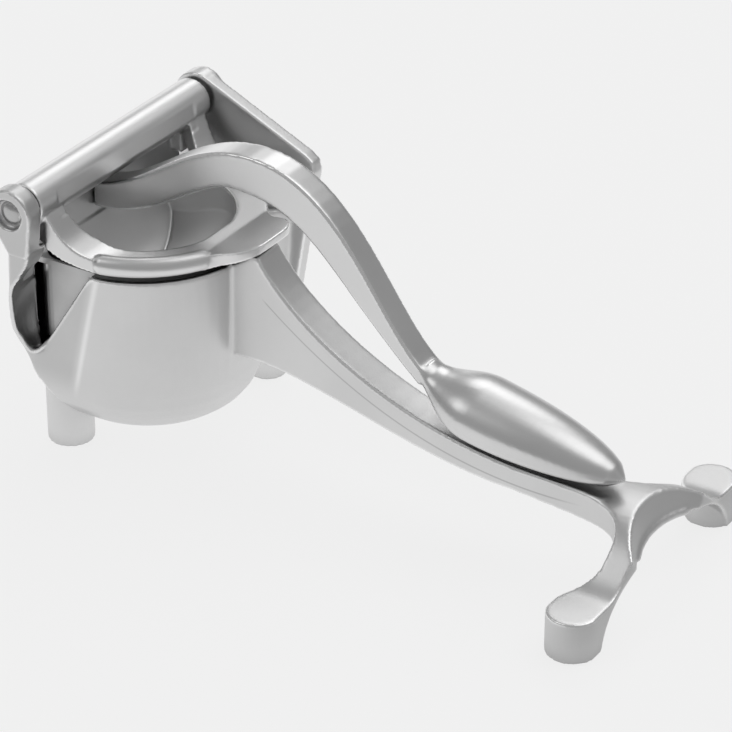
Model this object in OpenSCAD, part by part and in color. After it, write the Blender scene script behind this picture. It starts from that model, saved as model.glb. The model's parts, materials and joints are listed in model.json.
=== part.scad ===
// Lever citrus press: a cast vessel on a long forked foot, with a hinged press bowl and lever.
// X runs from the hinge along the arm, Y along the hinge pin, Z up. The fork and the legs stand on Z = 0.

/* [Hinge] */
// Height of the hinge pin's axis above the table
hinge_z = 126; // [120:1:132]
// Diameter of the hinge barrel
barrel_d = 19; // [17:0.5:20]
// Diameter of the round ear around the pin
ear_d = 22; // [21:0.5:25]
// Clear width between the two ears
ear_gap = 126; // [124:1:132]
// Thickness of an ear
ear_t = 9; // [8:0.5:11]
// Diameter of the hinge pin
pin_d = 8; // [7:0.5:9]
// Outside diameter of the two bushes in the barrel
bush_d = 11; // [10.5:0.5:12]
// Thickness of the thrust washer at each end of the barrel
washer_t = 1.2; // [0.8:0.1:1.5]

/* [Vessel] */
// Outside radius of the vessel at its rim
vessel_r = 50; // [48:0.5:52]
// Distance of the vessel's round centre in front of the hinge
vessel_x = 17.5; // [16:0.5:20]
// Height of the vessel's rim
rim_z = 93.5; // [90:0.5:95]
// Height of the vessel's underside
floor_z = 15; // [12:1:20]
// Wall thickness of the vessel
wall = 4; // [3.5:0.1:4.5]

/* [Strainer] */
// Sheet thickness of the strainer cup
strainer_t = 1.8; // [1.5:0.1:2]
// Diameter of a juice hole
hole_d = 4.2; // [3:0.2:5]

/* [Press bowl] */
// Wall thickness of the press bowl
bowl_t = 3.6; // [3:0.1:4]
// Thickness of the flange around the bowl
flange_t = 6; // [5:0.5:6]
// Outside radius of the flange's round front
flange_r = 52; // [50:0.5:53]

/* [Lever] */
// Width of the lever's bar
bar_w = 14; // [12:0.5:16]
// Width of the grip at its widest
grip_w = 38; // [34:1:42]
// Thickness of the grip
grip_h = 25; // [22:1:26]

/* [Arm and fork] */
// Width of the arm under the lever
arm_w = 17; // [15:0.5:20]
// Distance of the two fork feet in front of the hinge
fork_x = 261.5; // [255:0.5:270]
// Distance of a fork foot from the arm's centre line
fork_y = 59; // [54:1:60]
// Diameter of a fork foot
pad_d = 22; // [20:1:24]
// Height of a fork foot
pad_h = 18.6; // [16:0.2:20]
// Diameter of the near leg at the table
leg_d = 20.6; // [18:0.2:22]

/* [Hidden] */
eps = 0.01;
fit = 0.04;
steps = 20;

// hinge
ear_in = ear_gap / 2;
ear_out = ear_in + ear_t;
ear_r = ear_d / 2;
barrel_r = barrel_d / 2;
pin_r = pin_d / 2;
bush_r = bush_d / 2;
bush_len = 14;
side_play = 0.3;
barrel_end = ear_in - washer_t - 2 * side_play;
flat_x = barrel_r - 0.7;
flat_tilt = 8;
recess_r = pin_r + 2.6;
recess_depth = 3;
head_r = pin_r + 1.6;
head_h = 2;
clip_t = 1.2;
clip_r = recess_r - 0.4;
groove_depth = 0.8;

// vessel
back_x = -18;
edge_r = 22;
taper = 1;
inner_y = vessel_r - wall - taper;
ledge_w = 2;
ledge_h = 3;
notch_low = 52;
wing_t = 3.4;
wing_corner = 8;
wing_foot = [-7.5, -41, notch_low - 6];
wing_waist = [-8.3, -50, notch_low + 11];
wing_head = [-1, -ear_out, hinge_z - 16];
wing_front = 9.5;
body_corner = 14;
cup_corner = 10;
swing_side = 0.6;
rim_end = vessel_x + 5;
leg_x = -3.6;
leg_y = -31.6;
leg_top = 36;
slope_top = 68;
far_leg_x = 37;
far_leg_y = 61;
far_leg_r = 9;

// strainer and press bowl
play = 0.5;
seat = 0.1;
hole_rows = 8;
hole_cols = 4;
hole_pitch = 9;
hole_step = 8;
strainer_r = inner_y - play;
back_room = 4;
strainer_back = back_x + wall + back_room;
rim_drop = hinge_z - rim_z;
sweep_r = norm([vessel_x + strainer_r - strainer_t, rim_drop]);
swing_gap = 1.5;
bowl_plan_r = strainer_r - strainer_t - 1;
bowl_back = -9;
bowl_front = bowl_back + bowl_t;
flange_gap = 3.5;
flange_z = rim_z + flange_gap;
flange_top = flange_z + flange_t;
tab_z = flange_top + 5;
tab_x = vessel_x + 66;
tab_w = 40;
cheek_y = ear_in - 5;
opening_x = vessel_x + 37;
opening_back = 50;
fold_z = hinge_z - 26.5;
fold_x = 14;
fold_low = 60;
bowl_corner = cup_corner + bowl_t;
opening_r = bowl_plan_r - bowl_t;
bead_r = 3.8;
bead_from = -78;
bead_to = -24;
relief = 0.6;

// lever
seat_top = hinge_z - 14;
seat_low = hinge_z - 25;
screw_r = 2;
screw_head_r = 3.4;
screw_head_h = 2.4;
screw_len = 14;
screw_y = 3.6;
screw_z = (seat_top + seat_low) / 2;
crown_top = hinge_z + 19;
crown_low = hinge_z + 2.2;
neck_x = 162;
neck_z = hinge_z - 58;
neck_drop = 5.5;
neck_t = 8;
grip_x0 = 157.5;
grip_x1 = 251.5;
grip_z0 = neck_z + 0.5;
grip_z1 = 44;
neck_share = 0.21;
wide_share = 0.42;

// arm and fork
crest = [80, rim_z + 6.5];
arm_end = fork_x + pad_d / 2;
saddle_x = fork_x - 0.5;
scoop_r = 65;
scoop_lean = 20;
fork_low = 25.5;
fork_top = 38;
shift_x = -(back_x + arm_end) / 2;

// point on a cubic curve with four control points
function cubic(a, b, c, d, t) =
    pow(1 - t, 3) * a + 3 * pow(1 - t, 2) * t * b + 3 * (1 - t) * t * t * c + pow(t, 3) * d;
function curve(a, b, c, d) = [for (i = [0:steps]) cubic(a, b, c, d, i / steps)];
function back_of(list) = [for (i = [len(list) - 1:-1:0]) list[i]];
function mirrored(list) = [for (p = back_of(list)) [p[0], -p[1]]];
function arc(centre, r, from, to) = [for (a = [from:10:to]) centre + r * [cos(a), sin(a)]];

// how far the bowl may reach from the hinge at a given place along the pin
function swing_reach(y) =
    norm([vessel_x + sqrt(max(0, pow(strainer_r - strainer_t, 2) - y * y)), rim_drop]) - swing_gap;

module placed() {
    translate([shift_x, 0, 0]) children();
}

// an outline drawn in X and Z, as thick as from y0 to y1
module side_plate(points, y0, y1) {
    translate([0, y1, 0]) rotate([90, 0, 0]) linear_extrude(y1 - y0) polygon(points);
}

module along_pin(y0, y1, r) {
    translate([0, y0, hinge_z]) rotate([-90, 0, 0]) cylinder(h = y1 - y0, r = r, $fn = 96);
}

// plan of a cup's back half: two rounded corners
module back_plan(r, back, corner, inset = 0) {
    polygon(concat([[vessel_x, r - inset]], arc([back + corner, r - corner], corner - inset, 90, 180),
                   arc([back + corner, corner - r], corner - inset, 180, 270), [[vessel_x, inset - r]]));
}

// plan of all that nests in the vessel: a round front and a flat back with rounded corners
module d_plan(r, back, corner = cup_corner) {
    intersection() {
        translate([vessel_x, 0]) circle(r = r, $fn = 128);
        translate([vessel_x - eps, -r]) square([r + 1, 2 * r]);
    }
    back_plan(r, back, corner);
}

// half section of the vessel, inset by the given amount
function vessel_section(inset, top) = concat(
    [[0, floor_z + inset], [vessel_r - taper - edge_r, floor_z + inset]],
    [for (a = [-75:15:0]) [vessel_r - taper - edge_r + (edge_r - inset) * cos(a),
                           floor_z + edge_r + (edge_r - inset) * sin(a)]],
    [[vessel_r - inset, top], [0, top]]);

// the vessel's solid form, inset by the given amount: a round front, flat flanks and a back that slopes in
module vessel_form(inset, top) {
    back = back_x + inset;
    half = vessel_section(inset, top);
    slope = curve([back, slope_top], [back, slope_top - 16], [leg_x - 8 + inset, floor_z + 22 + inset / 2],
                  [vessel_x - 4 + inset / 2, floor_z + inset]);
    intersection() {
        union() {
            translate([vessel_x, 0, 0]) rotate([0, 0, -90]) rotate_extrude(angle = 180, $fn = 128) polygon(half);
            intersection() {
                translate([back, 0, 0]) rotate([90, 0, 90]) linear_extrude(vessel_x - back)
                    polygon(concat(half, [for (p = back_of(half)) [-p[0], p[1]]]));
                linear_extrude(top) back_plan(vessel_r, back_x, body_corner, inset);
            }
        }
        side_plate(concat([[back, top]], slope, [[vessel_x + vessel_r, floor_z + inset], [vessel_x + vessel_r, top]]),
                   -vessel_r - 1, vessel_r + 1);
    }
}

// outline of the near wing's front edge, from the notch's foot up to the ear
wing_edge = concat(curve([-7, notch_low - 1], [-13, notch_low + 2], [-11.5, hinge_z - 50], [-8, hinge_z - 44]),
                   curve([-8, hinge_z - 44], [-3, hinge_z - 33], [7, hinge_z - 26],
                         [wing_front - 1, wing_head[2] - 2]),
                   [[wing_front + 1, wing_head[2] + 2], [ear_r + 4, hinge_z]]);

// the near wing's solid form: its rounded corner leans out and forward from the vessel up to the ear
module wing_form(inset, over) {
    r = wing_corner - inset;
    waist = wing_waist - [r, 0, 0];
    width = wing_front - wing_head[0] - 2 * inset;
    hull() {
        translate(wing_foot - [0, 0, over]) cylinder(h = eps, r = r, $fn = 48);
        translate(wing_foot - [r, 0, over]) cube([r, vessel_r / 2, eps]);
        translate(wing_foot - [0, 0, 4 + over]) cylinder(h = eps, r = r - 1, $fn = 48);
        translate(wing_waist) cylinder(h = eps, r = r, $fn = 48);
        translate(waist) cube([r, wing_corner, eps]);
    }
    hull() {
        translate(wing_waist) cylinder(h = eps, r = r, $fn = 48);
        translate(waist) cube([r, wing_corner, eps]);
        translate(wing_head + [inset, inset, over]) cube([width, 2 * wing_corner, eps]);
    }
}

// near side: the ear stands on a wing that curls around the back of the pouring notch
module near_wing() {
    brace = [[-ear_out - 1, hinge_z - 8], [-ear_in, hinge_z - 8], [-ear_in, hinge_z - 22],
             [wing_waist[1] - 3, wing_waist[2] - 4], [-ear_out - 1, wing_waist[2] - 4]];
    difference() {
        union() {
            difference() {
                wing_form(0, 0);
                wing_form(wing_t, eps);
            }
            intersection() {
                wing_form(0, 0);
                translate([back_x, 0, 0]) rotate([90, 0, 90]) linear_extrude(vessel_r) polygon(brace);
            }
        }
        translate([back_x - 1, -inner_y, 0]) cube([vessel_r, vessel_r, hinge_z]);
        translate([back_x - 1, -cheek_y - swing_side, rim_z + 2]) cube([vessel_r, vessel_r, hinge_z]);
        notch_cut(wing_edge);
    }
    side_plate([[wing_head[0], wing_head[2] - 2], [wing_front - 1, wing_head[2] - 2], [wing_front, wing_head[2] + 3],
                [ear_r, hinge_z], [1 - ear_r, hinge_z - 4]], -ear_out, -ear_in);
}

// far side: a tall guard plate that runs from the ear to the far leg
module far_guard() {
    guard_t = 7;
    along_pin(ear_in, ear_out, ear_r);
    side_plate([[-10, hinge_z - 4], [6, hinge_z + 9.4], [57, hinge_z - 14], [61, hinge_z - 17],
                [62, hinge_z - 22], [far_leg_x + 9, 12], [far_leg_x - 9, 12], [-15, 62]],
               ear_in, ear_in + guard_t);
    translate([far_leg_x, far_leg_y, 0]) cylinder(h = 30, r = far_leg_r, $fn = 64);
    hull() {
        side_plate([[-14, 62], [-4, 84], [50, 84], [far_leg_x + 9, 24], [far_leg_x - 9, 24]], ear_in, ear_in + 1);
        translate([-8, vessel_r - 12, 40]) cube([44, 6, 48]);
    }
}

module arm() {
    rim_x = vessel_x + vessel_r;
    side_plate(concat(
        [[rim_x - wall / 2, rim_z], [rim_x, rim_z + 1], [crest[0] - 4, crest[1]], crest],
        curve(crest, [crest[0] + 13, crest[1] - 22], [138, fork_top + 6], [205, fork_top + 1]),
        [[fork_x - 22, fork_top], [fork_x - 15, fork_top], [fork_x - 15, fork_low], [fork_x - 26, fork_low]],
        back_of(curve([rim_x - wall, 50], [100, 56], [150, fork_low + 3], [205, fork_low + 2.5]))),
        -arm_w / 2, arm_w / 2);
}

// plan of the fork: narrow branches with a foot at each end
module fork_plan() {
    neck_y = 34;
    foot_in_x = fork_x - pad_d / 2;
    side = concat(curve([234, arm_w / 2], [256, arm_w / 2 + 1], [262, 22], [foot_in_x + 10, neck_y]),
                  curve([foot_in_x + 10, neck_y], [foot_in_x + 9, neck_y + 9], [foot_in_x, neck_y + 11],
                        [foot_in_x, fork_y]));
    polygon(concat(side, [[arm_end, fork_y], [arm_end, -fork_y]], mirrored(side)));
    for (s = [-1, 1]) translate([fork_x, s * fork_y]) circle(d = pad_d, $fn = 64);
}

module fork_section() {
    foot_in = fork_y - pad_d / 2;
    top = curve([0, fork_top], [34, fork_top], [33, pad_h], [foot_in + 3, pad_h]);
    arch = curve([fork_y - 5, 0], [foot_in + 2, fork_low - 5], [26, fork_low], [0, fork_low]);
    half = concat(top, [[fork_y + pad_d, pad_h], [fork_y + pad_d, 0]], arch);
    polygon(half);
    polygon([for (p = half) [-p[0], p[1]]]);
}

// the fork: two branches that arch down to a foot each, with a leaning hollow in front of the saddle
module fork() {
    difference() {
        intersection() {
            linear_extrude(fork_top + 1) fork_plan();
            translate([200, 0, 0]) rotate([90, 0, 90]) linear_extrude(100) fork_section();
        }
        translate([saddle_x, 0, fork_top]) rotate([0, -scoop_lean, 0]) translate([scoop_r, 0, -2 * fork_top])
            cylinder(h = 3 * fork_top, r = scoop_r, $fn = 128);
    }
    for (s = [-1, 1]) translate([fork_x, s * fork_y, 0]) cylinder(h = pad_h, d = pad_d, $fn = 64);
}

// the pouring notch: the given edge behind, a round foot, and a straight climb to the rim
module notch_cut(edge) {
    side_plate(concat([[rim_end + 3, hinge_z], [rim_end + 3, rim_z + 1], [rim_end, rim_z - 2]],
                      curve([3, notch_low + 9], [-0.5, notch_low + 4], [-3, notch_low - 1], [-7, notch_low - 1]),
                      edge),
               -ear_out - 1, -inner_y);
}

module press_body() {
    color("silver") placed() difference() {
        union() {
            difference() {
                vessel_form(0, rim_z);
                notch_cut([[back_x - 1, notch_low - 1], [back_x - 1, hinge_z]]);
            }
            near_wing();
            along_pin(-ear_out, -ear_in, ear_r);
            far_guard();
            arm();
            fork();
            translate([leg_x, leg_y, 0]) cylinder(h = leg_top, d = leg_d, $fn = 64);
            translate([leg_x, leg_y, leg_top]) sphere(d = leg_d, $fn = 64);
        }
        vessel_form(wall, rim_z + eps);
        translate([0, 0, rim_z - ledge_h]) linear_extrude(2 * ledge_h) d_plan(vessel_r - ledge_w, back_x + ledge_w);
        along_pin(-ear_out - 1, ear_out + 1, pin_r);
        along_pin(-ear_out - 1, -ear_out + recess_depth, recess_r);
        along_pin(ear_out - recess_depth, ear_out + 1, recess_r);
    }
}

// one juice hole, pointing from the hinge axis out and down through the strainer's curved floor
module juice_hole(y, tilt) {
    translate([0, y, hinge_z]) rotate([0, 90 + tilt, 0]) translate([0, 0, sweep_r - strainer_t])
        cylinder(h = 3 * strainer_t, d = hole_d, $fn = 24);
}

module strainer_cup() {
    reach = strainer_r - strainer_t - 1.5 * hole_d;
    color("gainsboro") placed() difference() {
        union() {
            intersection() {
                translate([0, 0, floor_z]) linear_extrude(rim_z - floor_z - play) d_plan(strainer_r, strainer_back);
                along_pin(-vessel_r, vessel_r, sweep_r + strainer_t);
            }
            translate([0, 0, rim_z - ledge_h + seat]) linear_extrude(ledge_h - play) difference() {
                d_plan(vessel_r - ledge_w - play, back_x + ledge_w + play);
                translate([back_x, -vessel_r]) square([rim_end + play - back_x, vessel_r - strainer_r]);
            }
        }
        intersection() {
            linear_extrude(hinge_z) d_plan(strainer_r - strainer_t, strainer_back + strainer_t);
            along_pin(-vessel_r, vessel_r, sweep_r);
        }
        for (row = [0:hole_rows - 1], col = [-hole_cols:hole_cols]) {
            y = (col + (row % 2) / 2) * hole_pitch;
            tilt = 92 - row * hole_step;
            x = sweep_r * cos(tilt);
            if (abs(y) < reach && (x < vessel_x || norm([x - vessel_x, y]) < reach)) juice_hole(y, tilt);
        }
    }
}

// solid of revolution about the pin that clears the strainer all the way up
module swing_form(inset) {
    y_max = bowl_plan_r + 0.5;
    translate([0, 0, hinge_z]) rotate([90, 0, 0]) rotate_extrude($fn = 128)
        polygon(concat([[0, -y_max]],
                       [for (i = [-steps:steps]) [swing_reach(i / steps * y_max) - inset, i / steps * y_max]],
                       [[0, y_max]]));
}

// plan of the flange: round, with cheeks at the pin and a tab in front
module flange_plan() {
    corner_r = 13;
    corner = [tab_x - corner_r, tab_w / 2 - corner_r];
    shoulder = curve([vessel_x + 32, 41], [vessel_x + 41, 33], [vessel_x + 45, tab_w / 2 + 2], [corner[0], tab_w / 2]);
    translate([vessel_x, 0]) circle(r = flange_r, $fn = 128);
    polygon([[vessel_x + 14, flange_r - 2], [8, cheek_y], [bowl_back, cheek_y],
             [bowl_back, -cheek_y], [8, -cheek_y], [vessel_x + 14, 2 - flange_r]]);
    polygon(concat([[vessel_x, 41]], shoulder, mirrored(shoulder), [[vessel_x, -41]]));
    for (s = [-1, 1]) translate([corner[0], s * corner[1]]) circle(r = corner_r, $fn = 64);
    translate([vessel_x, -corner[1]]) square([tab_x - vessel_x, 2 * corner[1]]);
}

// plan of the bowl's mouth: wide at the back under the barrel, straight in front
module mouth_plan() {
    intersection() {
        union() {
            d_plan(opening_r, bowl_front);
            polygon([[bowl_front, opening_back], [2, opening_back], [vessel_x + 4, opening_r - 0.5],
                     [vessel_x + 4, 0.5 - opening_r], [2, -opening_back], [bowl_front, -opening_back]]);
        }
        translate([bowl_front, -opening_back]) square([opening_x - bowl_front, 2 * opening_back]);
    }
}

// the bowl's room for the fruit: from a fold under the back panel its back slopes down and forward
module bowl_room() {
    intersection() {
        linear_extrude(flange_z + 1) intersection() {
            d_plan(opening_r, bowl_front);
            translate([bowl_front, -opening_r]) square([opening_x - bowl_front, 2 * opening_r]);
        }
        swing_form(bowl_t);
        side_plate([[bowl_front, hinge_z], [bowl_front, fold_z], [fold_x, fold_low], [2 * vessel_r, fold_low - 40],
                    [2 * vessel_r, hinge_z]], -opening_r, opening_r);
    }
}

// side view of the flange: it sweeps down from the barrel, runs level and ends in the raised tab
module flange_ribbon() {
    upper = curve([4, hinge_z + 7], [12, hinge_z - 10], [14, flange_top], [36, flange_top]);
    lower = curve([36, flange_z], [12, flange_z], [5, hinge_z - 16], [-4, hinge_z - 7]);
    side_plate(concat(upper, [[62, flange_top], [tab_x, tab_z], [tab_x, tab_z - 4], [64, flange_z]], lower),
               -cheek_y - 1, cheek_y + 1);
}

module rolled_bead() {
    translate([vessel_x, 0, flange_z + bead_r]) rotate([0, 0, bead_from])
        rotate_extrude(angle = bead_to - bead_from, $fn = 128)
            translate([flange_r - bead_r + 1, 0]) circle(r = bead_r, $fn = 32);
}

module press_bowl() {
    color("silver") placed() difference() {
        union() {
            intersection() {
                linear_extrude(hinge_z + barrel_r) flange_plan();
                flange_ribbon();
            }
            intersection() {
                linear_extrude(flange_top) d_plan(bowl_plan_r, bowl_back, bowl_corner);
                swing_form(0);
                side_plate([[bowl_back, flange_top], [bowl_back, fold_z - 2], [fold_x - bowl_t, fold_low - 2],
                            [2 * vessel_r, fold_low - 42], [2 * vessel_r, flange_top]], -vessel_r, vessel_r);
            }
            translate([bowl_back, -cheek_y, flange_z]) cube([bowl_t, 2 * cheek_y, hinge_z - flange_z]);
            along_pin(-barrel_end, barrel_end, barrel_r);
            rolled_bead();
        }
        bowl_room();
        difference() {
            translate([0, 0, flange_z]) linear_extrude(hinge_z - flange_z + barrel_r) mouth_plan();
            along_pin(-barrel_end, barrel_end, barrel_r);
        }
        translate([0, -opening_back, hinge_z]) rotate([0, -flat_tilt, 0]) translate([flat_x, 0, -barrel_r])
            cube([barrel_r, 2 * opening_back, 2 * barrel_r]);
        along_pin(-ear_in, ear_in, pin_r + relief);
        for (s = [-1, 1]) along_pin(s * barrel_end - bush_len, s * barrel_end + bush_len, bush_r);
        lever_holes(screw_r + fit);
    }
}

module lever_holes(r) {
    for (s = [-1, 1]) translate([bowl_back - 1, s * screw_y, screw_z])
        rotate([0, 90, 0]) cylinder(h = screw_len + 2, r = r, $fn = 32);
}

module lever_bar() {
    top = concat(curve([bowl_front, seat_top], [24, seat_top + 5], [40, crown_top], [75, crown_top]),
                 curve([75, crown_top], [121, crown_top], [137, neck_z + 18], [neck_x, neck_z]));
    low = concat(curve([bowl_front, seat_low], [25, seat_low - 1.5], [50, crown_low], [66, crown_low]),
                 curve([66, crown_low], [106, crown_low], [110, neck_z + 37], [neck_x - 4, neck_z - neck_drop]));
    side_plate(concat(top, back_of(low)), -bar_w / 2, bar_w / 2);
}

// how full the grip is along its length: it swells behind the neck and rounds off at its tip
function grip_full(t) =
    t < wide_share ? (1 - cos(180 * t / wide_share)) / 2
                   : pow(max(0.004, 1 - pow((t - wide_share) / (1 - wide_share), 2.2)), 1 / 2);
function grip_half(t, narrow, wide) =
    t < wide_share ? narrow + (wide - narrow) * grip_full(t) : wide * grip_full(t);
function grip_axis(t) =
    cubic([grip_x0, grip_z0], [grip_x0 + 15, grip_z0 - 14], [grip_x0 + 48, grip_z0 - 13.5], [grip_x1, grip_z1], t);
function grip_slope(t) =
    let (d = grip_axis(t + 0.02) - grip_axis(t - 0.02)) atan2(d[1], d[0]);

module grip_slice(t) {
    p = grip_axis(t);
    translate([p[0], 0, p[1]]) rotate([0, 90 - grip_slope(t), 0]) linear_extrude(eps)
        scale([grip_half(t, neck_t / 2, grip_h / 2), grip_half(t, bar_w / 2, grip_w / 2)]) circle(r = 1, $fn = 40);
}

module grip() {
    neck_slices = 3;
    for (i = [0:neck_slices - 1]) hull() {
        grip_slice(i / neck_slices * neck_share);
        grip_slice((i + 1) / neck_slices * neck_share);
    }
    hull() for (i = [0:steps]) grip_slice(neck_share + (1 - neck_share) * i / steps);
}

module lever() {
    color("silver") placed() difference() {
        union() {
            lever_bar();
            grip();
        }
        lever_holes(screw_r + fit);
    }
}

module lever_screws() {
    socket_r = 1.6;
    socket_depth = 2;
    color("dimgray") placed() for (s = [-1, 1]) translate([bowl_back, s * screw_y, screw_z]) difference() {
        union() {
            rotate([0, 90, 0]) cylinder(h = screw_len, r = screw_r, $fn = 32);
            translate([-screw_head_h, 0, 0]) rotate([0, 90, 0]) cylinder(h = screw_head_h, r = screw_head_r, $fn = 32);
        }
        translate([-screw_head_h - eps, 0, 0]) rotate([0, 90, 0]) cylinder(h = socket_depth, r = socket_r, $fn = 6);
    }
}

module hinge_pin() {
    seat_y = ear_out - recess_depth;
    dome_r = (head_r * head_r + head_h * head_h) / (2 * head_h);
    color("gray") placed() difference() {
        union() {
            along_pin(-seat_y, seat_y + 2 * clip_t, pin_r);
            intersection() {
                along_pin(-seat_y - head_h, -seat_y, head_r);
                translate([0, dome_r - seat_y - head_h, hinge_z]) sphere(r = dome_r, $fn = 96);
            }
        }
        difference() {
            along_pin(seat_y, seat_y + clip_t, pin_r + 1);
            along_pin(seat_y, seat_y + clip_t, pin_r - groove_depth);
        }
    }
}

module bush(y) {
    color("goldenrod") placed() difference() {
        along_pin(y, y + bush_len, bush_r);
        along_pin(y - 1, y + bush_len + 1, pin_r + fit);
    }
}

module near_bush() {
    bush(-barrel_end);
}

module far_bush() {
    bush(barrel_end - bush_len);
}

module thrust_washers() {
    color("whitesmoke") placed() for (s = [-1, 1]) let (y = s * (ear_in - side_play - washer_t / 2)) difference() {
        along_pin(y - washer_t / 2, y + washer_t / 2, barrel_r - 2);
        along_pin(-ear_out, ear_out, pin_r + fit);
    }
}

module pin_clip() {
    seat_y = ear_out - recess_depth;
    color("gray") placed() difference() {
        along_pin(seat_y, seat_y + clip_t, clip_r);
        along_pin(seat_y - 1, seat_y + clip_t + 1, pin_r - groove_depth + fit);
        translate([0, seat_y - 1, hinge_z - 2]) cube([clip_r + 1, clip_t + 2, 4]);
    }
}

press_body();
strainer_cup();
press_bowl();
lever();
lever_screws();
hinge_pin();
near_bush();
far_bush();
thrust_washers();
pin_clip();
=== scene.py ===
"""Looks of the lever citrus press: soft sand-cast fillets, satin aluminium, and a plain studio."""

import json
from math import cos, pi, radians, sin

import bmesh
import bpy
from mathutils import Matrix, Vector


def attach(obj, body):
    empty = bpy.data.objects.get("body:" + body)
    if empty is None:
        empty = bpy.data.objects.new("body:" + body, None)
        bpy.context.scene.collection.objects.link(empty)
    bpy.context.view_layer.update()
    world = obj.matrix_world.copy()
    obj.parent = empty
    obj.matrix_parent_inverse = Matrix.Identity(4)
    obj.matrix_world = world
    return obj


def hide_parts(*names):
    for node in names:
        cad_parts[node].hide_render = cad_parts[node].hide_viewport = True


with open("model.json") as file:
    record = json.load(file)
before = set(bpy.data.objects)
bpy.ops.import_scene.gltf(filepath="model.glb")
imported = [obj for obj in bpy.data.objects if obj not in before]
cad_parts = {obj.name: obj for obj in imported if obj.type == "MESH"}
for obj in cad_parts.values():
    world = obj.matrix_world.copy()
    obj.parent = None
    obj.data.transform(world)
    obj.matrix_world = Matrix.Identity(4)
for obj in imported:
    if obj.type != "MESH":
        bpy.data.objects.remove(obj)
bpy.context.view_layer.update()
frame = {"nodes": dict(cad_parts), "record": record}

# Camera, fitted to the photograph, in metres, degrees and millimetres
CAMERA_AZIMUTH = 32.29
CAMERA_ELEVATION = 29.81
CAMERA_DISTANCE = 1.4372
CAMERA_TARGET = Vector((0.00092, 0.0, 0.05956))
CAMERA_LENS = 169.64
CAMERA_SENSOR = 36.0
CAMERA_RANGE = (0.05, 50.0)

# Voxel size and smoothing passes that turn sharp solids into soft castings
BODY_VOXEL = 0.0008
BODY_PASSES = 7
BOWL_VOXEL = 0.0006
BOWL_PASSES = 5
LEVER_PASSES = 8
SMOOTHING = 0.5
CREASE_ANGLE = radians(35)

# Greys of the metals, as linear reflectance, and how far painted shade darkens their hollows and crevices
SATIN_GREY = 0.74
POLISHED_GREY = 0.74
BOWL_GREY = 0.8
STEEL_GREY = 0.45
HOLLOW_SHADE = 0.72
CREVICE_SHADE = 0.65
# Convex edges: how much smoother their gloss is, and how soft the mask of their painted highlight
EDGE_SHINE = -0.10
EDGE_SOFTNESS = 0.04

# Floor: its own grey, the white it shows, how much of that white hides its shadow, and its size
FLOOR_GREY = 0.8
PAPER_WHITE = 0.95
PAPER_SHARE = 0.84
PAPER_SHARE_IN_METAL = 0.85
DIM_PAPER = 0.4
DIM_PAPER_FROM = (0.04, 0.24)
FLOOR_HALF = 4.0
FLOOR_DROP = 0.0004

# Room light: its plain level, and soft panels as (way, even half angle, edge half angle, level). A level
# below zero dims the room there.
ROOM_LEVEL = 0.37
PANELS = (
    (Vector((0.3, 0.38, 0.87)), 13, 30, 0.8),
    (Vector((-0.27, 0.7, 0.66)), 6, 17, 1.5),
    (Vector((-0.72, 0.69, 0.02)), 12, 22, 0.9),
    (Vector((-0.46, -0.36, 0.81)), 6, 22, 0.55),
    (Vector((0.35, 0.75, 0.55)), 10, 24, -0.14),
)

# Square lamps as (name, place, side length, watts), all aimed at one point of the press
LAMP_AIM = Vector((-0.02, 0.0, 0.05))
LAMPS = (
    ("key light", Vector((0.5, 0.65, 1.4)), 1.0, 0.8),
    ("fill light", Vector((-0.9, -0.8, 1.5)), 0.8, 0.8),
)

# Places of the hinge and of the round vessel along X, in metres
HINGE_X = -0.12725
VESSEL_X = HINGE_X + 0.0175

# The flange's rolled bead: its arc round the vessel in degrees, its path and its thickness
BEAD_ARC = (-81, -22)
BEAD_STEPS = 40
BEAD_PATH_RADIUS = 0.0496
BEAD_RADIUS = 0.0043
BEAD_HEIGHT = 0.1009
BEAD_END_SHARE = 0.55
BEAD_END_LENGTH = 0.16

# The webs between the cheeks and the back panel: their reach from the hinge in X, then in Y and Z
WEB_X = (-0.0088, 0.0005)
WEB_Y = (0.0508, 0.0576)
WEB_Z = (0.1035, 0.1195)

# The rolled rim along the pouring notch: where its edges lie, and the beads that make it, in metres
RIM_REACH = ((-0.141, -0.068, 0.048), (-0.102, -0.04, 0.094))
RIM_STEP = 0.0005
RIM_RADIUS = 0.0012
RIM_INSET = 0.0005

# The rolled edge under the fork's front, likewise
FORK_REACH = ((0.108, -0.05, 0.008), (0.1425, 0.05, 0.038))
FORK_STEP = 0.0007
FORK_RADIUS = 0.0018
FORK_INSET = 0.0006
WELD_REACH = 1e-6

# The wing's hollow face as (height, X and Y at the rim, X and Y at the wall), in metres
WING_COVE = (
    (0.0495, -0.1330, -0.0500, -0.1325, -0.0458),
    (0.0545, -0.1362, -0.0525, -0.1335, -0.0456),
    (0.0600, -0.1375, -0.0545, -0.1343, -0.0456),
    (0.0660, -0.1378, -0.0560, -0.1345, -0.0456),
    (0.0720, -0.1374, -0.0575, -0.1345, -0.0456),
    (0.0780, -0.1362, -0.0590, -0.1345, -0.0456),
    (0.0840, -0.1340, -0.0605, -0.1338, -0.0460),
    (0.0885, -0.1325, -0.0600, -0.1325, -0.0500),
)
COVE_STEPS = 6
COVE_DEPTH = 0.0008
COVE_THICKNESS = 0.0018

# The mould's parting line: height as a cubic in X, and where it fades in, as (from, to) along X and across Y
PARTING_CUBIC = (-2.92176, 3.16823, -0.50126, 0.05245)
PARTING_START = (-0.046, -0.042)
PARTING_END = (0.112, 0.092)
ARM_SIDE_INNER = (0.0072, 0.0078)
ARM_SIDE_OUTER = (0.0105, 0.0095)
PARTING_SHADE = 0.72

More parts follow.
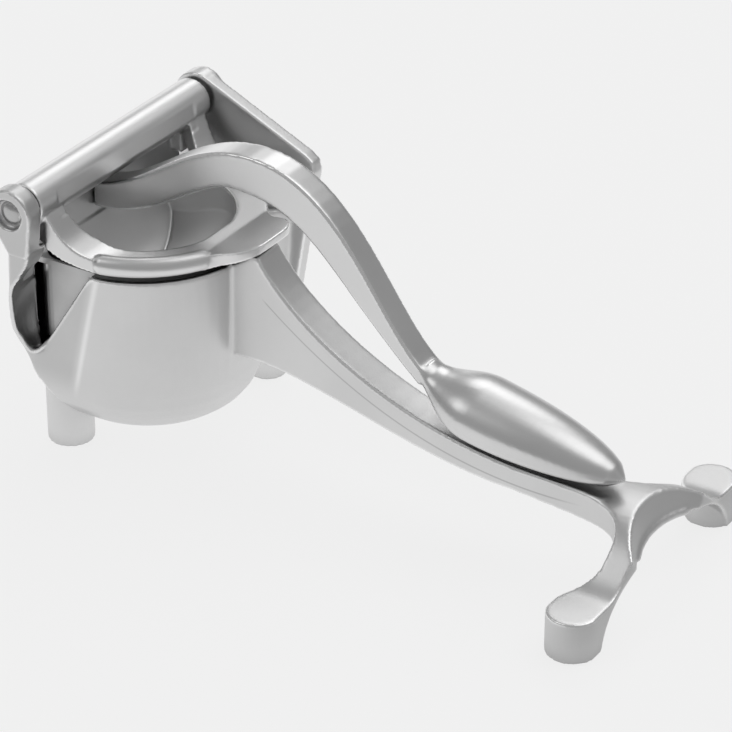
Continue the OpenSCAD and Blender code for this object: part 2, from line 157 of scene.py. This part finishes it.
# Painted highlight down the spout's fold and painted shade on the flank behind it: the fold's X as a line in
# Z, and where they fade in, as (from, to)
FOLD_OFFSET = -0.12223
FOLD_LEAN = 0.232
FOLD_NEAR_SIDE = (-0.034, -0.042)
FOLD_ABOVE = (0.03, 0.045)
FOLD_FLANK = (0.0, -0.005)
# How much the painted highlight brightens and the painted shade darkens
FOLD_HIGHLIGHT = 1.22
FLANK_PAINTED_SHADE = 0.84


def grey(value):
    """A neutral colour."""
    return (value, value, value, 1.0)


def darker(colour, share):
    """A colour with its channels scaled."""
    return tuple(share * channel for channel in colour[:3]) + (1.0,)


# Shader groups


def new_group(name, inputs, outputs):
    """An empty shader node group with its sockets, as (group, nodes, links, input node, output node)."""
    group = bpy.data.node_groups.new(name, "ShaderNodeTree")
    for socket, kind, default in inputs:
        made = group.interface.new_socket(socket, in_out="INPUT", socket_type=kind)
        made.default_value = default
    for socket, kind in outputs:
        group.interface.new_socket(socket, in_out="OUTPUT", socket_type=kind)
    nodes, links = group.nodes, group.links
    return group, nodes, links, nodes.new("NodeGroupInput"), nodes.new("NodeGroupOutput")


def map_range(nodes, links, source, low, high, to_low=0.0, to_high=1.0):
    """A clamped map from one range to another, smooth at both ends."""
    node = nodes.new("ShaderNodeMapRange")
    node.interpolation_type = "SMOOTHSTEP"
    node.inputs["From Min"].default_value = low
    node.inputs["From Max"].default_value = high
    node.inputs["To Min"].default_value = to_low
    node.inputs["To Max"].default_value = to_high
    links.new(source, node.inputs["Value"])
    return node.outputs["Result"]


def maths(nodes, links, operation, a, b=0.0):
    """One math node; a and b are sockets or numbers."""
    node = nodes.new("ShaderNodeMath")
    node.operation = operation
    for socket, value in zip(node.inputs, (a, b)):
        if isinstance(value, (int, float)):
            socket.default_value = value
        else:
            links.new(value, socket)
    return node.outputs[0]


def object_axes(nodes, links):
    """The X, Y and Z of a spot, in metres of the object's own frame."""
    coords = nodes.new("ShaderNodeTexCoord")
    axes = nodes.new("ShaderNodeSeparateXYZ")
    links.new(coords.outputs["Object"], axes.inputs["Vector"])
    return axes.outputs


def object_noise(nodes, links, detail):
    """A noise texture that stays with the object."""
    coords = nodes.new("ShaderNodeTexCoord")
    noise = nodes.new("ShaderNodeTexNoise")
    noise.inputs["Detail"].default_value = detail
    links.new(coords.outputs["Object"], noise.inputs["Vector"])
    return noise


def crevice_group():
    """How open a spot is to the room, which sets where shade is painted: 1 on open faces, lower in gaps and
    inner corners.
    """
    group, nodes, links, start, end = new_group(
        "crevices",
        [("Reach", "NodeSocketFloat", 0.012)],
        [("Open", "NodeSocketFloat")],
    )
    openness = nodes.new("ShaderNodeAmbientOcclusion")
    openness.samples = 6
    links.new(start.outputs["Reach"], openness.inputs["Distance"])
    links.new(map_range(nodes, links, openness.outputs["AO"], 0.15, 0.85), end.inputs["Open"])
    return group


def edge_highlight_and_hollow_group():
    """Masks for a painted highlight on convex edges, broken into patches, and for painted shade in the
    hollows.
    """
    group, nodes, links, start, end = new_group(
        "painted edge highlights and hollow shade",
        [
            ("Softness", "NodeSocketFloat", 0.06),
            ("Patchiness", "NodeSocketFloat", 0.4),
            ("Patches per metre", "NodeSocketFloat", 60.0),
            ("Hollow softness", "NodeSocketFloat", -0.06),
        ],
        [("Edge", "NodeSocketFloat"), ("Hollow", "NodeSocketFloat")],
    )
    geometry = nodes.new("ShaderNodeNewGeometry")
    noise = object_noise(nodes, links, 3.0)
    links.new(start.outputs["Patches per metre"], noise.inputs["Scale"])
    lift = maths(nodes, links, "SUBTRACT", geometry.outputs["Pointiness"], 0.5)
    edge = maths(nodes, links, "DIVIDE", lift, start.outputs["Softness"])
    edge = map_range(nodes, links, edge, 0.15, 1.0)
    patch = maths(nodes, links, "MULTIPLY", noise.outputs["Fac"], start.outputs["Patchiness"])
    kept = maths(nodes, links, "SUBTRACT", 1.0, patch)
    links.new(maths(nodes, links, "MULTIPLY", edge, kept), end.inputs["Edge"])
    dip = maths(nodes, links, "DIVIDE", lift, start.outputs["Hollow softness"])
    links.new(map_range(nodes, links, dip, 0.2, 1.4), end.inputs["Hollow"])
    return group


def cast_grain_group():
    """Fine blasted grain and slow cloudiness of a sand casting."""
    group, nodes, links, start, end = new_group(
        "cast grain",
        [("Grain per metre", "NodeSocketFloat", 1800.0), ("Cloud per metre", "NodeSocketFloat", 28.0)],
        [("Height", "NodeSocketFloat"), ("Cloud", "NodeSocketFloat")],
    )
    grain = object_noise(nodes, links, 4.0)
    grain.inputs["Roughness"].default_value = 0.6
    cloud = object_noise(nodes, links, 5.0)
    links.new(start.outputs["Grain per metre"], grain.inputs["Scale"])
    links.new(start.outputs["Cloud per metre"], cloud.inputs["Scale"])
    links.new(grain.outputs["Fac"], end.inputs["Height"])
    links.new(map_range(nodes, links, cloud.outputs["Fac"], 0.3, 0.7), end.inputs["Cloud"])
    return group


def polish_lines_group():
    """Fine lines that a polishing belt leaves along one axis."""
    group, nodes, links, start, end = new_group(
        "polish lines",
        [("Stretch", "NodeSocketVector", (30.0, 900.0, 900.0))],
        [("Lines", "NodeSocketFloat")],
    )
    coords = nodes.new("ShaderNodeTexCoord")
    scaled = nodes.new("ShaderNodeVectorMath")
    scaled.operation = "MULTIPLY"
    links.new(coords.outputs["Object"], scaled.inputs[0])
    links.new(start.outputs["Stretch"], scaled.inputs[1])
    noise = nodes.new("ShaderNodeTexNoise")
    noise.inputs["Scale"].default_value = 1.0
    noise.inputs["Detail"].default_value = 3.0
    links.new(scaled.outputs["Vector"], noise.inputs["Vector"])
    links.new(noise.outputs["Fac"], end.inputs["Lines"])
    return group


def parting_line_group():
    """Thin line where the two halves of the mould met along both sides of the arm."""
    group, nodes, links, start, end = new_group(
        "parting line",
        [("Half width", "NodeSocketFloat", 0.0006)],
        [("Line", "NodeSocketFloat")],
    )
    x, y, z = object_axes(nodes, links)
    height = PARTING_CUBIC[0]
    for factor in PARTING_CUBIC[1:]:
        height = maths(nodes, links, "ADD", maths(nodes, links, "MULTIPLY", height, x), factor)
    off = maths(nodes, links, "ABSOLUTE", maths(nodes, links, "SUBTRACT", z, height))
    off = maths(nodes, links, "DIVIDE", off, start.outputs["Half width"])
    line = map_range(nodes, links, off, 1.0, 0.2)
    side = maths(nodes, links, "ABSOLUTE", y)
    windows = ((side, ARM_SIDE_INNER), (x, PARTING_START), (x, PARTING_END), (side, ARM_SIDE_OUTER))
    for value, (low, high) in windows:
        line = maths(nodes, links, "MULTIPLY", line, map_range(nodes, links, value, low, high))
    links.new(line, end.inputs["Line"])
    return group


def painted_fold_light_group():
    """Painted highlight down a fold on the vessel's near flank, and painted shade on the flatter face behind
    it under the pouring notch.
    """
    group, nodes, links, start, end = new_group(
        "painted spout fold light",
        [("Half width", "NodeSocketFloat", 0.0022)],
        [("Fold highlight", "NodeSocketFloat"), ("Flank shade", "NodeSocketFloat")],
    )
    x, y, z = object_axes(nodes, links)
    fold_x = maths(nodes, links, "ADD", maths(nodes, links, "MULTIPLY", z, FOLD_LEAN), FOLD_OFFSET)
    off = maths(nodes, links, "SUBTRACT", x, fold_x)
    near = map_range(nodes, links, y, *FOLD_NEAR_SIDE)
    near = maths(nodes, links, "MULTIPLY", near, map_range(nodes, links, z, *FOLD_ABOVE))
    spread = maths(nodes, links, "ABSOLUTE", off)
    spread = maths(nodes, links, "DIVIDE", spread, start.outputs["Half width"])
    highlight_line = map_range(nodes, links, spread, 1.0, 0.0)
    links.new(maths(nodes, links, "MULTIPLY", highlight_line, near), end.inputs["Fold highlight"])
    behind = map_range(nodes, links, off, *FOLD_FLANK)
    links.new(maths(nodes, links, "MULTIPLY", behind, near), end.inputs["Flank shade"])
    return group


CREVICES = crevice_group()
EDGE_HIGHLIGHT_AND_HOLLOW_SHADE = edge_highlight_and_hollow_group()
CAST_GRAIN = cast_grain_group()
POLISH_LINES = polish_lines_group()
PARTING_LINE = parting_line_group()
PAINTED_FOLD_LIGHT = painted_fold_light_group()


# Materials


def use_group(nodes, group):
    """An instance of a shader group inside a material."""
    node = nodes.new("ShaderNodeGroup")
    node.node_tree = group
    return node


def mix_colours(nodes, links, mask, first, second, blend="MIX"):
    """A mix from the first colour to the second where the mask is on; each is a socket or a colour."""
    mix = nodes.new("ShaderNodeMix")
    mix.data_type = "RGBA"
    mix.blend_type = blend
    for socket, value in (("A", first), ("B", second)):
        if isinstance(value, tuple):
            mix.inputs[socket].default_value = value
        else:
            links.new(value, mix.inputs[socket])
    links.new(mask, mix.inputs["Factor"])
    return mix.outputs["Result"]


def add_cast_marks_and_painted_fold(material):
    """Parting line, and the painted highlight and painted shade of the spout's fold, on the body casting's
    base colour.
    """
    nodes, links = material.node_tree.nodes, material.node_tree.links
    target = nodes["Principled BSDF"].inputs["Base Color"]
    colour = target.links[0].from_socket
    fold = use_group(nodes, PAINTED_FOLD_LIGHT)
    parting = use_group(nodes, PARTING_LINE)
    tints = (
        (fold.outputs["Flank shade"], FLANK_PAINTED_SHADE),
        (fold.outputs["Fold highlight"], FOLD_HIGHLIGHT),
        (parting.outputs["Line"], PARTING_SHADE),
    )
    for mask, shade in tints:
        colour = mix_colours(nodes, links, mask, colour, grey(shade), "MULTIPLY")
    links.new(colour, target)


def metal(name, colours, roughness, rough_spread, grain_height, stretch=None):
    """Satin metal of plain, dark and bright colours: cloudy, with a painted highlight and smoother gloss at
    convex edges, painted shade in hollows and crevices, with cast grain or, where a stretch is given, polish
    lines in the bump."""
    plain, dark, bright = colours
    material = bpy.data.materials.new(name)
    material.use_nodes = True
    nodes, links = material.node_tree.nodes, material.node_tree.links
    shader = nodes["Principled BSDF"]
    shader.inputs["Metallic"].default_value = 1.0
    grain = use_group(nodes, CAST_GRAIN)
    edge_paint = use_group(nodes, EDGE_HIGHLIGHT_AND_HOLLOW_SHADE)
    edge_paint.inputs["Softness"].default_value = EDGE_SOFTNESS
    crevice = use_group(nodes, CREVICES)

    colour = mix_colours(nodes, links, grain.outputs["Cloud"], dark, plain)
    # Painted shade in hollows, then a painted highlight on convex edges
    colour = mix_colours(nodes, links, edge_paint.outputs["Hollow"], colour, darker(dark, HOLLOW_SHADE))
    colour = mix_colours(nodes, links, edge_paint.outputs["Edge"], colour, bright)
    # Painted shade in crevices and gaps, where the room is hidden
    colour = mix_colours(nodes, links, crevice.outputs["Open"], darker(dark, CREVICE_SHADE), colour)
    links.new(colour, shader.inputs["Base Color"])

    rough = maths(nodes, links, "MULTIPLY", grain.outputs["Cloud"], rough_spread)
    rough = maths(nodes, links, "ADD", rough, roughness)
    if stretch is None:
        height = grain.outputs["Height"]
    else:
        polish = use_group(nodes, POLISH_LINES)
        polish.inputs["Stretch"].default_value = stretch
        height = polish.outputs["Lines"]
        rough = maths(nodes, links, "ADD", rough, maths(nodes, links, "MULTIPLY", height, rough_spread))
    shine = maths(nodes, links, "MULTIPLY", edge_paint.outputs["Edge"], EDGE_SHINE)
    links.new(maths(nodes, links, "ADD", rough, shine), shader.inputs["Roughness"])

    bump = nodes.new("ShaderNodeBump")
    bump.inputs["Strength"].default_value = 1.0
    bump.inputs["Distance"].default_value = grain_height
    links.new(height, bump.inputs["Height"])
    links.new(bump.outputs["Normal"], shader.inputs["Normal"])
    return material


def greys(plain, dark, bright):
    """Three neutral colours of a metal: plain, dark, and the bright one of its painted edge highlights."""
    return grey(plain), grey(dark), grey(bright)


cast_body = metal("satin cast body", greys(SATIN_GREY, SATIN_GREY * 0.93, 0.97), 0.34, 0.05, 0.00005)
add_cast_marks_and_painted_fold(cast_body)
cast_bowl = metal("satin cast bowl", greys(BOWL_GREY, BOWL_GREY * 0.95, 0.97), 0.33, 0.05, 0.00004)
polished_lever = metal(
    "polished lever",
    greys(POLISHED_GREY, POLISHED_GREY * 0.95, 0.95),
    0.27,
    0.04,
    0.00001,
    (30.0, 700.0, 700.0),
)
# Much darker than the castings: painted shade for the cup's place deep inside the vessel
strainer_sheet = metal(
    "strainer aluminium",
    greys(0.36, 0.31, 0.6),
    0.38,
    0.08,
    0.00001,
    (40.0, 700.0, 700.0),
)
pin_steel = metal("hinge pin steel", greys(STEEL_GREY, STEEL_GREY * 0.85, 0.8), 0.24, 0.06, 0.00001)
screw_steel = metal("lever screw steel", greys(0.4, 0.34, 0.75), 0.28, 0.06, 0.00001)
bush_bronze = metal(
    "sintered bronze bush",
    ((0.56, 0.36, 0.16, 1.0), (0.44, 0.27, 0.11, 1.0), (0.8, 0.6, 0.35, 1.0)),
    0.36,
    0.08,
    0.00002,
)


# Added form on the castings


def add_loft(shape, rings):
    """A closed skin through rings of vertices, added to a bmesh."""
    count = len(rings[0])
    for low, high in zip(rings, rings[1:]):
        for k in range(count):
            shape.faces.new((low[k], low[(k + 1) % count], high[(k + 1) % count], high[k]))
    shape.faces.new(list(reversed(rings[0])))
    shape.faces.new(rings[-1])


def add_tube(shape, path, radii, sides=20):
    """A closed round tube along a path of points, added to a bmesh."""
    turns = [2 * pi * k / sides for k in range(sides)]
    rings = []
    for i, point in enumerate(path):
        along = (path[min(i + 1, len(path) - 1)] - path[max(i - 1, 0)]).normalized()
        across = along.cross(Vector((0, 0, 1))).normalized()
        up = across.cross(along)
        rings.append([shape.verts.new(point + radii[i] * (cos(a) * across + sin(a) * up)) for a in turns])
    add_loft(shape, rings)


def add_block(shape, low, high):
    """A closed box between two corners, added to a bmesh."""
    size = [b - a for a, b in zip(low, high)]
    middle = [(a + b) / 2 for a, b in zip(low, high)]
    move = Matrix.Translation(middle) @ Matrix.Diagonal((*size, 1.0))
    bmesh.ops.create_cube(shape, size=1.0, matrix=move)


def add_wing_cove(shape):
    """A smooth hollow face inside the wing, from its rim to the wall by the strainer, in a bmesh."""
    rings = []
    for z, rim_x, rim_y, wall_x, wall_y in WING_COVE:
        rim, wall = Vector((rim_x, rim_y, z)), Vector((wall_x, wall_y, z))
        out = Vector((wall.y - rim.y, rim.x - wall.x, 0.0)).normalized() * -1
        front = []
        for k in range(COVE_STEPS + 1):
            t = k / COVE_STEPS
            front.append(rim.lerp(wall, t) + out * COVE_DEPTH * 4 * t * (1 - t))
        back = [point + out * COVE_THICKNESS for point in reversed(front)]
        rings.append([shape.verts.new(point) for point in front + back])
    add_loft(shape, rings)


def rim_spots(shape, reach, wanted, step, inset):
    """Points along the wanted edges in a box, chosen by their two faces, moved a little into the metal."""
    spots = []
    for edge in shape.edges:
        if len(edge.link_faces) != 2:
            continue
        normals = (face.normal for face in edge.link_faces)
        first, second = sorted(normals, key=lambda normal: abs(normal.y))
        start, end = (vert.co for vert in edge.verts)
        inside = all(low < value < high for value, low, high in zip((start + end) / 2, *reach))
        if inside and wanted(first, second):
            steps = max(1, round((end - start).length / step))
            spots += [start.lerp(end, k / steps) - (first + second) * inset for k in range(steps + 1)]
    return spots


def on_notch(first, second):
    """True where a cut face of the pouring notch meets the outside."""
    return (first.x > 0.5 or first.z > 0.3) and abs(first.y) < 0.12 and second.y < -0.3


def under_fork(first, second):
    """True where the fork's hollow front meets its underside."""
    under, front = sorted((first, second), key=lambda normal: normal.z)
    return under.z < -0.4 and front.x > 0.25 and front.z < 0.6 and under.dot(front) < 0.5


def body_details(shape):
    """Rolled rims along the pouring notch and under the fork's front, and a smooth face in the wing."""
    bmesh.ops.remove_doubles(shape, verts=shape.verts, dist=WELD_REACH)
    shape.normal_update()
    rims = [(spot, RIM_RADIUS) for spot in rim_spots(shape, RIM_REACH, on_notch, RIM_STEP, RIM_INSET)]
    fork_spots = rim_spots(shape, FORK_REACH, under_fork, FORK_STEP, FORK_INSET)
    rims += [(spot, FORK_RADIUS) for spot in fork_spots]
    add_wing_cove(shape)
    for spot, radius in rims:
        bmesh.ops.create_icosphere(shape, subdivisions=2, radius=radius, matrix=Matrix.Translation(spot))


def bowl_details(shape):
    """The full rolled bead on the flange's rim, and webs that close the cheeks to the back panel."""
    path, radii = [], []
    for i in range(BEAD_STEPS + 1):
        t = i / BEAD_STEPS
        angle = radians(BEAD_ARC[0] + (BEAD_ARC[1] - BEAD_ARC[0]) * t)
        x = VESSEL_X + BEAD_PATH_RADIUS * cos(angle)
        path.append(Vector((x, BEAD_PATH_RADIUS * sin(angle), BEAD_HEIGHT)))
        end_fade = min(1.0, (0.5 - abs(t - 0.5)) * 2 / BEAD_END_LENGTH)
        swell = (1 - BEAD_END_SHARE) * sin(end_fade * pi / 2)
        radii.append(BEAD_RADIUS * (BEAD_END_SHARE + swell))
    add_tube(shape, path, radii)
    for side in (-1, 1):
        ys = sorted(side * y for y in WEB_Y)
        low, high = ((HINGE_X + x, y, z) for x, y, z in zip(WEB_X, ys, WEB_Z))
        add_block(shape, low, high)


# Pieces


def body_of_node(node):
    """The name of the moving body that a solid belongs to."""
    for body, members in frame["record"]["behaviour"]["bodies"].items():
        if node in members:
            return body
    raise ValueError(node)


def soft_casting(node, piece, material, voxel=BODY_VOXEL, passes=BODY_PASSES, details=None):
    """A casting with soft fillets, made from the solid's own form, that stands for the solid."""
    form = frame["nodes"][node].data.copy()
    if details is not None:
        shape = bmesh.new()
        shape.from_mesh(form)
        details(shape)
        shape.to_mesh(form)
        shape.free()
    casting = bpy.data.objects.new(piece, form)
    bpy.context.scene.collection.objects.link(casting)
    remesh = casting.modifiers.new("voxels", "REMESH")
    remesh.mode = "VOXEL"
    remesh.voxel_size = voxel
    smooth = casting.modifiers.new("fillets", "SMOOTH")
    smooth.factor = SMOOTHING
    smooth.iterations = passes
    bpy.context.view_layer.update()
    graph = bpy.context.evaluated_depsgraph_get()
    shaped = bpy.data.meshes.new_from_object(casting.evaluated_get(graph))
    casting.modifiers.clear()
    casting.data = shaped
    shaped.materials.clear()
    shaped.materials.append(material)
    shaped.shade_smooth()
    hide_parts(node)
    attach(casting, body_of_node(node))


def machined(node, material):
    """A turned or stamped piece shown as its solid, smooth where round and crisp at its edges."""
    mesh = frame["nodes"][node].data
    mesh.materials.clear()
    mesh.materials.append(material)
    mesh.shade_smooth()
    mesh.set_sharp_from_angle(angle=CREASE_ANGLE)


def build_pieces():
    """Dress every solid of the press."""
    soft_casting("press_body", "body_casting", cast_body, details=body_details)
    soft_casting(
        "press_bowl",
        "bowl_casting",
        cast_bowl,
        voxel=BOWL_VOXEL,
        passes=BOWL_PASSES,
        details=bowl_details,
    )
    soft_casting("lever", "lever_casting", polished_lever, passes=LEVER_PASSES)
    machined("strainer_cup", strainer_sheet)
    machined("lever_screws", screw_steel)
    for node in ("hinge_pin", "pin_clip", "thrust_washers"):
        machined(node, pin_steel)
    for node in ("near_bush", "far_bush"):
        machined(node, bush_bronze)


# Studio


def floor_material():
    """A pale seamless floor that keeps a faint shadow, and that metal mirrors dimmer towards the right."""
    material = bpy.data.materials.new("pale floor")
    material.use_nodes = True
    nodes, links = material.node_tree.nodes, material.node_tree.links
    shader = nodes["Principled BSDF"]
    shader.inputs["Base Color"].default_value = grey(FLOOR_GREY)
    shader.inputs["Roughness"].default_value = 0.9
    shader.inputs["Specular IOR Level"].default_value = 0.0
    paper = nodes.new("ShaderNodeEmission")
    path = nodes.new("ShaderNodeLightPath")
    axes = object_axes(nodes, links)
    level = map_range(nodes, links, axes["X"], *DIM_PAPER_FROM, PAPER_WHITE, DIM_PAPER)
    white = maths(nodes, links, "MULTIPLY", path.outputs["Is Camera Ray"], PAPER_WHITE)
    links.new(maths(nodes, links, "MAXIMUM", level, white), paper.inputs["Color"])
    direct = maths(nodes, links, "MULTIPLY", path.outputs["Is Camera Ray"], PAPER_SHARE)
    mirrored = maths(nodes, links, "MULTIPLY", path.outputs["Is Glossy Ray"], PAPER_SHARE_IN_METAL)
    mix = nodes.new("ShaderNodeMixShader")
    links.new(maths(nodes, links, "MAXIMUM", direct, mirrored), mix.inputs["Fac"])
    links.new(shader.outputs["BSDF"], mix.inputs[1])
    links.new(paper.outputs["Emission"], mix.inputs[2])
    links.new(mix.outputs["Shader"], nodes["Material Output"].inputs["Surface"])
    return material


def build_floor():
    """A wide floor just under the press, which fills the whole picture."""
    mesh = bpy.data.meshes.new("floor")
    corners = [(x * FLOOR_HALF, y * FLOOR_HALF, 0) for x, y in ((-1, -1), (1, -1), (1, 1), (-1, 1))]
    mesh.from_pydata(corners, [], [(0, 1, 2, 3)])
    floor = bpy.data.objects.new("floor", mesh)
    mesh.materials.append(floor_material())
    floor.location.z = -FLOOR_DROP
    bpy.context.scene.collection.objects.link(floor)


def build_world():
    """A plain room with soft panels above, behind and in front, and a dimmer right side."""
    world = bpy.data.worlds.new("studio room")
    bpy.context.scene.world = world
    world.use_nodes = True
    nodes, links = world.node_tree.nodes, world.node_tree.links
    coords = nodes.new("ShaderNodeTexCoord")
    total = ROOM_LEVEL
    for way, even, edge, level in PANELS:
        toward = nodes.new("ShaderNodeVectorMath")
        toward.operation = "DOT_PRODUCT"
        links.new(coords.outputs["Generated"], toward.inputs[0])
        toward.inputs[1].default_value = way.normalized()
        inner, outer = cos(radians(even)), cos(radians(edge))
        panel = map_range(nodes, links, toward.outputs["Value"], outer, inner, 0.0, level)
        total = maths(nodes, links, "ADD", panel, total)
    links.new(total, nodes["Background"].inputs["Color"])


def build_lights():
    """A soft key high behind the press and a soft fill from the front left."""
    for name, place, size, watts in LAMPS:
        lamp = bpy.data.lights.new(name, "AREA")
        lamp.shape = "SQUARE"
        lamp.size = size
        lamp.energy = watts
        light = bpy.data.objects.new(name, lamp)
        light.location = place
        light.rotation_euler = (LAMP_AIM - place).to_track_quat("-Z", "Y").to_euler()
        bpy.context.scene.collection.objects.link(light)


def build_camera():
    """The photograph's viewpoint."""
    azimuth, elevation = radians(CAMERA_AZIMUTH), radians(CAMERA_ELEVATION)
    back = Vector((sin(azimuth) * cos(elevation), -cos(azimuth) * cos(elevation), sin(elevation)))
    lens = bpy.data.cameras.new("photograph view")
    lens.lens = CAMERA_LENS
    lens.sensor_width = CAMERA_SENSOR
    lens.sensor_height = CAMERA_SENSOR
    lens.clip_start, lens.clip_end = CAMERA_RANGE
    camera = bpy.data.objects.new("photograph view", lens)
    camera.location = CAMERA_TARGET + back * CAMERA_DISTANCE
    camera.rotation_euler = (-back).to_track_quat("-Z", "Y").to_euler()
    bpy.context.scene.collection.objects.link(camera)
    bpy.context.scene.camera = camera


build_pieces()
build_floor()
build_world()
build_lights()
build_camera()
bpy.context.scene.view_settings.view_transform = "Standard"
